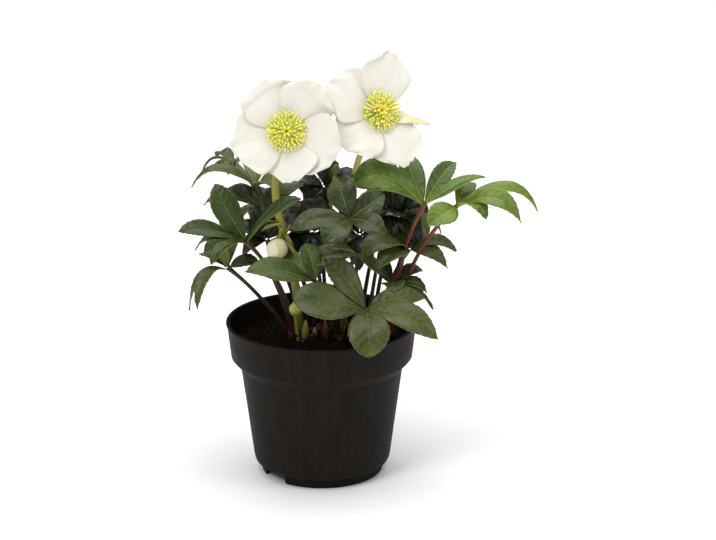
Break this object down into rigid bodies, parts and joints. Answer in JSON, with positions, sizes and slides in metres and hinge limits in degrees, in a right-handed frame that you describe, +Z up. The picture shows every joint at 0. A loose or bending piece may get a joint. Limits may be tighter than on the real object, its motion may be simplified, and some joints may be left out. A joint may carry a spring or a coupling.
{
  "type": "potted christmas rose",
  "caption": "A Christmas rose in flower, with white open blooms, nodding buds and dark divided leaves, growing in a black plastic nursery pot filled with potting soil.",
  "frame": {"origin": "middle of the plant's footprint, on the surface that the pot stands on", "axes": "+Z up, -Y the way the flowers face, +X to the right as seen from the front"},
  "size_m": [0.2236, 0.159, 0.2719],
  "materials": {
    "pot_plastic": "satin black, thinly moulded",
    "soil": "moist, crumbly peat-based potting soil",
    "crown": "rough, dark and scaly",
    "leaf": "leathery satin, dark green with a paler midrib",
    "young_leaf": "leathery satin, fresh green with a paler midrib",
    "flower_stem": "smooth and fleshy, yellow-green",
    "nectary": "smooth, yellow-green",
    "petal": "soft matt white with a faint cream shade",
    "stamen": "matt pale yellow",
    "carpel": "smooth, deep yellow",
    "bud": "soft matt cream with a green flush"
  },
  "bodies": {
    "root": {"pot": "pot_plastic", "crown": "crown", "flower_left_stem": "flower_stem", "flower_left_receptacle": "nectary", "flower_left_stamens": "stamen", "flower_left_carpels": "carpel", "flower_left_petal_1": "petal", "flower_left_petal_2": "petal", "flower_left_petal_3": "petal", "flower_left_petal_4": "petal", "flower_left_petal_5": "petal", "flower_right_stem": "flower_stem", "flower_right_receptacle": "nectary", "flower_right_stamens": "stamen", "flower_right_carpels": "carpel", "flower_right_petal_1": "petal", "flower_right_petal_2": "petal", "flower_right_petal_3": "petal", "flower_right_petal_4": "petal", "flower_right_petal_5": "petal", "bud_large": "bud", "bud_large_stalk": "flower_stem", "bud_small": "bud", "bud_small_stalk": "flower_stem", "bud_tiny": "bud", "leaf_front": "leaf", "leaf_centre": "leaf", "leaf_right_high": "young_leaf", "leaf_right_far": "young_leaf", "leaf_right_mid": "leaf", "leaf_right_low": "leaf", "leaf_left": "leaf", "leaf_left_low": "leaf", "leaf_left_inner": "leaf", "leaf_left_high": "leaf", "leaf_left_top": "leaf", "leaf_left_back": "leaf", "leaf_centre_low": "leaf", "leaf_back_mid_left": "leaf", "leaf_back_mid_right": "leaf", "leaf_rear_left": "leaf", "leaf_rear_right": "leaf", "soil": "soil"}
  },
  "joints": []
}
